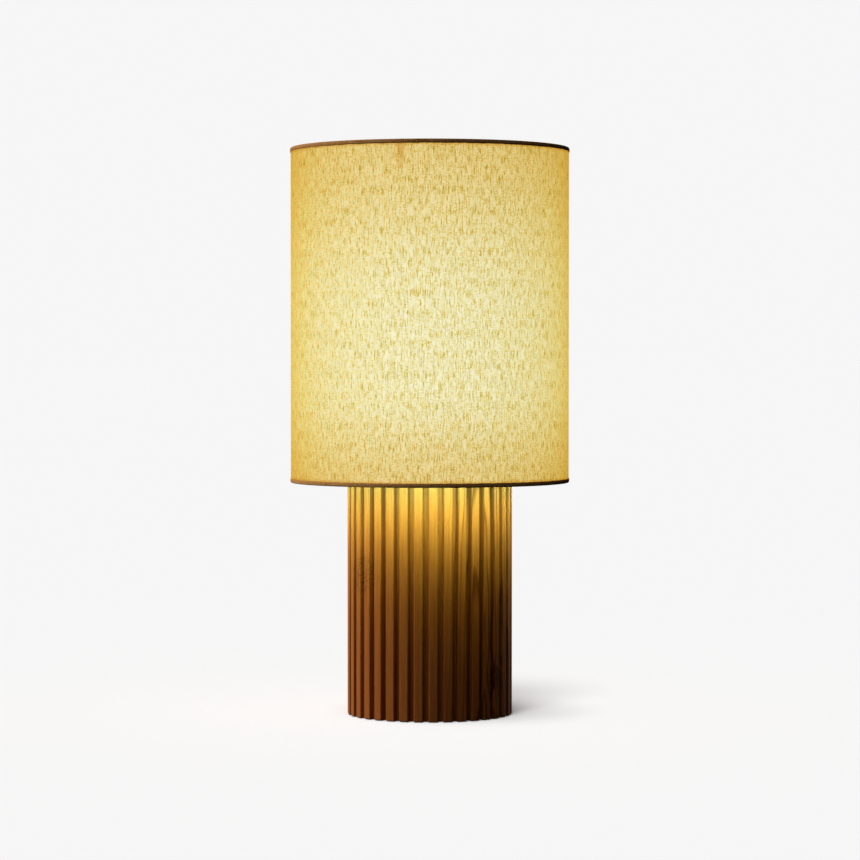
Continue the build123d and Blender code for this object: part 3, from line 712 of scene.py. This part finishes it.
def shine(name, level, azimuth, elevation, spread, lit, blockers=None):
    """A sun of that level on the lit objects, from that side (0 is the camera's, -90 the left) and height."""
    data = bpy.data.lights.new(name, "SUN")
    data.energy = level * math.pi
    data.angle = math.radians(spread)
    lamp = bpy.data.objects.new(name, data)
    bpy.context.scene.collection.objects.link(lamp)
    side = math.radians(azimuth)
    rise = math.radians(elevation)
    level_part = math.cos(rise)
    towards = Vector((math.sin(side) * level_part, -math.cos(side) * level_part, math.sin(rise)))
    lamp.rotation_euler = towards.to_track_quat("Z", "Y").to_euler()
    lamp.light_linking.receiver_collection = lit
    if blockers:
        lamp.light_linking.blocker_collection = blockers


def gathered(name, objects):
    group = bpy.data.collections.new(name)
    for member in objects:
        group.objects.link(member)
    return group


def seen_rays(tree):
    """1 for the rays that show a surface, straight or by reflection, and 0 for those that gather light."""
    path = tree.nodes.new("ShaderNodeLightPath")
    seen = path.outputs["Is Camera Ray"]
    for name in ("Is Glossy Ray", "Is Transmission Ray"):
        either = tree.nodes.new("ShaderNodeMath")
        either.operation = "MAXIMUM"
        tree.links.new(seen, either.inputs[0])
        tree.links.new(path.outputs[name], either.inputs[1])
        seen = either.outputs[0]
    return seen


def chosen(tree, unseen, shown):
    """One shader for the rays that light the scene, and the other for those that show it."""
    choice = tree.nodes.new("ShaderNodeMixShader")
    tree.links.new(seen_rays(tree), choice.inputs[0])
    tree.links.new(unseen.outputs[0], choice.inputs[1])
    tree.links.new(shown.outputs[0], choice.inputs[2])
    return choice.outputs[0]


def stage_material():
    """A pale floor that keeps the shadow, with the backdrop's brightness where it is seen."""
    material = bpy.data.materials.new("floor")
    material.use_nodes = True
    tree = material.node_tree
    tree.nodes.clear()
    pale = tree.nodes.new("ShaderNodeBsdfDiffuse")
    pale.inputs["Color"].default_value = (FLOOR_COLOUR, FLOOR_COLOUR, FLOOR_COLOUR, 1)
    glow = tree.nodes.new("ShaderNodeEmission")
    unlit = BACKDROP * (1 - HIGH_SHARE - BACKWARD_SHARE)
    glow.inputs["Strength"].default_value = unlit - AMBIENT * FLOOR_COLOUR
    shown = tree.nodes.new("ShaderNodeAddShader")
    tree.links.new(pale.outputs[0], shown.inputs[0])
    tree.links.new(glow.outputs[0], shown.inputs[1])
    dark = tree.nodes.new("ShaderNodeBsdfDiffuse")
    dark.inputs["Color"].default_value = (0, 0, 0, 1)
    output = tree.nodes.new("ShaderNodeOutputMaterial")
    tree.links.new(chosen(tree, dark, shown), output.inputs["Surface"])
    return material


def backdrop_world():
    """The backdrop's brightness where it is seen, and a faint even light from it."""
    world = bpy.data.worlds.new("backdrop")
    world.use_nodes = True
    tree = world.node_tree
    tree.nodes.clear()
    levels = []
    for strength in (AMBIENT, BACKDROP):
        level = tree.nodes.new("ShaderNodeBackground")
        level.inputs["Color"].default_value = (1, 1, 1, 1)
        level.inputs["Strength"].default_value = strength
        levels.append(level)
    output = tree.nodes.new("ShaderNodeOutputWorld")
    tree.links.new(chosen(tree, *levels), output.inputs["Surface"])
    bpy.context.scene.world = world


def camera():
    data = bpy.data.cameras.new("camera")
    data.angle = math.radians(CAMERA_FIELD)
    eye = bpy.data.objects.new("camera", data)
    bpy.context.scene.collection.objects.link(eye)
    eye.location = (CAMERA_SIDE, -CAMERA_DISTANCE, CAMERA_HEIGHT)
    eye.rotation_euler = (math.radians(90 - CAMERA_PITCH), 0, 0)
    bpy.context.scene.camera = eye


def floor():
    half = FLOOR_SIZE / 2
    mesh = bpy.data.meshes.new("floor")
    corners = [(-half, -half, 0), (half, -half, 0), (half, half, 0), (-half, half, 0)]
    mesh.from_pydata(corners, [], [(0, 1, 2, 3)])
    plane = bpy.data.objects.new("floor", mesh)
    bpy.context.scene.collection.objects.link(plane)
    plane.data.materials.append(stage_material())
    return plane


def glow_ring(name, tilt, spread, radiance, lit):
    """A ring of small panels just inside the lining that shine inwards and down onto the column."""
    radius = liner_radius - GLOW_SETBACK
    width = math.tau * radius / GLOW_PANELS
    strength = max(radiance)
    down = math.radians(tilt)
    for number in range(GLOW_PANELS):
        angle = math.tau * (number + 0.5) / GLOW_PANELS
        label = f"{name}_{number}"
        data = bpy.data.lights.new(label, "AREA")
        data.shape = "RECTANGLE"
        data.size = width
        data.size_y = GLOW_PANEL_HEIGHT
        data.spread = math.radians(spread)
        data.color = [part / strength for part in radiance]
        data.energy = strength * math.pi * width * GLOW_PANEL_HEIGHT * (1 + GLOW_LEAN * math.sin(angle))
        panel = bpy.data.objects.new(label, data)
        bpy.context.scene.collection.objects.link(panel)
        panel.location = on_drum(angle, radius, shade_bottom + GLOW_RISE)
        backwards = Vector(on_drum(angle, math.cos(down), math.sin(down)))
        panel.rotation_euler = backwards.to_track_quat("Z", "Y").to_euler()
        panel.light_linking.receiver_collection = lit
        panel.visible_camera = False
        panel.visible_glossy = False


def floor_light(name, share, sun, lit, blockers):
    """A light on the floor alone, which gives its share of the brightness and one part of the shadow."""
    level = BACKDROP * share / FLOOR_COLOUR / math.sin(math.radians(sun["elevation"]))
    shine(name, level, lit=lit, blockers=blockers, **sun)


MATERIALS = {
    walnut_material: ("fluted_column", "finial_knob"),
    board: ("column_base_disc", "column_top_disc"),
    cast_iron: ("ballast_plate",),
    zinc_steel: ("base_disc_screws", "base_washer", "base_nut", "threaded_pipe", "socket_set_screw",
                 "switch_shaft"),
    brass: ("top_washer", "top_nut", "harp_saddle", "harp", "socket_cap", "socket_shell", "terminal_screws",
            "socket_centre_contact", "harp_sleeve_right", "harp_sleeve_left", "harp_stud", "finial_insert"),
    nickel: ("socket_screw_shell", "bulb_screw_base"),
    black_plastic: ("cord_bushing", "switch_knob", "bulb_insulator"),
    fibre: ("socket_insulator",),
    switch_block: ("socket_switch_body",),
    white_wire: ("shade_spider", "shade_top_ring", "shade_bottom_ring"),
    solder: ("bulb_contact",),
    white_plastic: ("bulb_housing",),
    circuit_board: ("bulb_led_board",),
    liner_material: ("shade_liner",),
    globe_material: ("bulb_globe",),
}

camera()
backdrop_world()
ground = floor()

linen = linen_sheet()
dress(linen, "shade", "shade_fabric", linen_material())
hem_cloth_material = hem_material()
top_hem = hem_band("top_hem", shade_top, 1)
dress(top_hem, "shade", "shade_top_hem", hem_cloth_material)
bottom_hem = hem_band("bottom_hem", shade_bottom, -1)
dress(bottom_hem, "shade", "shade_bottom_hem", hem_cloth_material)

felt = felt_disc()
dress(felt, "base", "felt_pad", felt_material())

for make, names in MATERIALS.items():
    finish = make()
    for name in names:
        assign(name, finish)

glowing = [linen, nodes["shade_liner"], nodes["bulb_globe"]]
solid_pieces = [piece for piece in nodes.values() if piece not in glowing] + [top_hem, bottom_hem, felt]
column_pieces = [nodes["fluted_column"], nodes["column_base_disc"], felt]
shine("key", lit=gathered("lit_by_key", solid_pieces), **KEY)
soft_lit = gathered("lit_softly", solid_pieces + [linen])
shine("fill", lit=soft_lit, **FILL)
shine("side", lit=gathered("lit_from_side", [linen]), **SIDE)
shine("back", lit=soft_lit, **BACK)
floor_lit = gathered("lit_floor", [ground])
casts = gathered("casts_on_floor", column_pieces)
floor_light("high_shadow", HIGH_SHARE, HIGH_SHADOW, floor_lit, casts)
floor_light("backward_shadow", BACKWARD_SHARE, BACKWARD_SHADOW, floor_lit, casts)
column_lit = gathered("lit_by_glow", [nodes["fluted_column"]])
for number, ring in enumerate(GLOW_RINGS):
    glow_ring(f"glow_{number}", lit=column_lit, **ring)
other_solids = [piece for piece in solid_pieces if piece != nodes["fluted_column"]]
inside_lit = gathered("lit_inside", other_solids + glowing)
for piece in glowing:
    piece.light_linking.receiver_collection = inside_lit

bpy.context.scene.view_settings.view_transform = "Standard"
